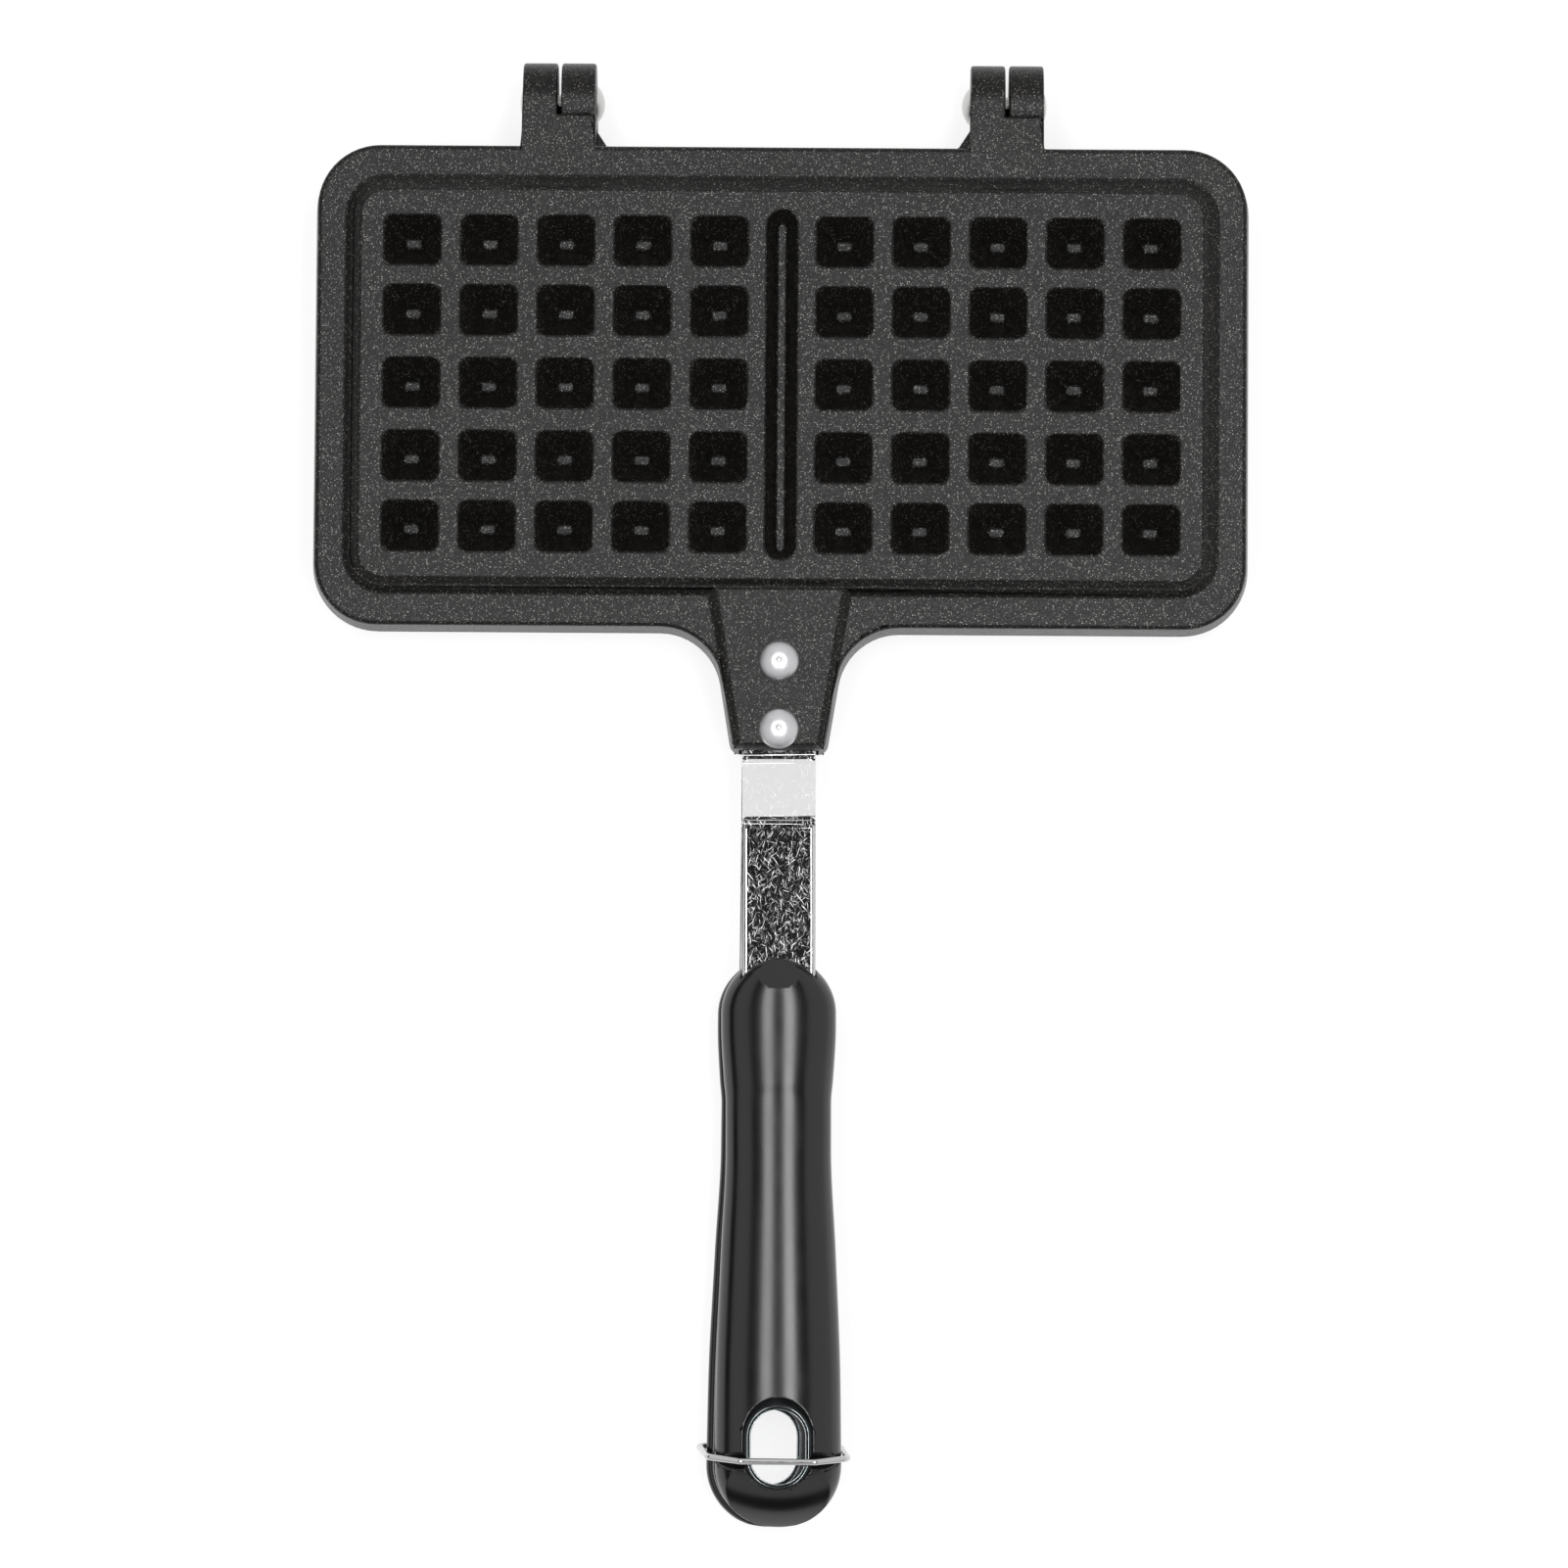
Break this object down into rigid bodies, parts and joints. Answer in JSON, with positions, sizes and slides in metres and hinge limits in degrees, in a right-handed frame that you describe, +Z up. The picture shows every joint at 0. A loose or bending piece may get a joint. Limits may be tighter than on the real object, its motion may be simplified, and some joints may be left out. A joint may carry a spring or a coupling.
{
  "type": "stovetop waffle pan",
  "caption": "Hinged two-plate stovetop waffle pan with studded mould halves, hollow waffle pits outside, riveted straps, moulded half grips and a wire clip",
  "frame": {"origin": "middle of the closed pan's outline, on the surface that the lower panel rests on", "axes": "+Y from the grips towards the hinge, +X to the right seen from above with the hinge away, +Z up out of the upper panel"},
  "size_m": [0.2356, 0.3688, 0.0306],
  "materials": {
    "nonstick_coating": "cast aluminium with a dark non-stick coating, semi-gloss with fine pale speckle",
    "handle_steel": "stamped stainless strap, satin",
    "rivet_aluminium": "domed rivet heads with fine turned rings",
    "pin_steel": "headed hinge pins, dull",
    "grip_plastic": "black heat-resistant moulding, satin",
    "liner_steel": "bright drawn liner",
    "screw_steel": "plated screws",
    "clip_wire": "bright spring wire"
  },
  "bodies": {
    "lower_half": {"lower_plate": "nonstick_coating", "left_hinge_pin": "pin_steel", "right_hinge_pin": "pin_steel", "lower_strap": "handle_steel", "lower_front_rivet": "rivet_aluminium", "lower_rear_rivet": "rivet_aluminium", "lower_grip": "grip_plastic", "lower_hanging_ring": "liner_steel", "lower_front_screw": "screw_steel", "lower_rear_screw": "screw_steel"},
    "upper_half": {"upper_plate": "nonstick_coating", "upper_strap": "handle_steel", "upper_front_rivet": "rivet_aluminium", "upper_rear_rivet": "rivet_aluminium", "upper_grip": "grip_plastic", "upper_hanging_ring": "liner_steel", "upper_front_screw": "screw_steel", "upper_rear_screw": "screw_steel"},
    "clip": {"locking_clip": "clip_wire"}
  },
  "joints": [
    {"name": "pan_hinge", "type": "hinge", "parent": "lower_half", "child": "upper_half", "pos_m": [0, 0.17415, 0.0145], "axis": [-1, 0, 0], "range_deg": [0, 180]},
    {"name": "clip_swing", "type": "hinge", "parent": "lower_half", "child": "clip", "pos_m": [-0.00108, -0.16425, 0.006], "axis": [1, -0.0058, 0], "range_deg": [0, 235], "deforming": ["locking_clip"]}
  ]
}
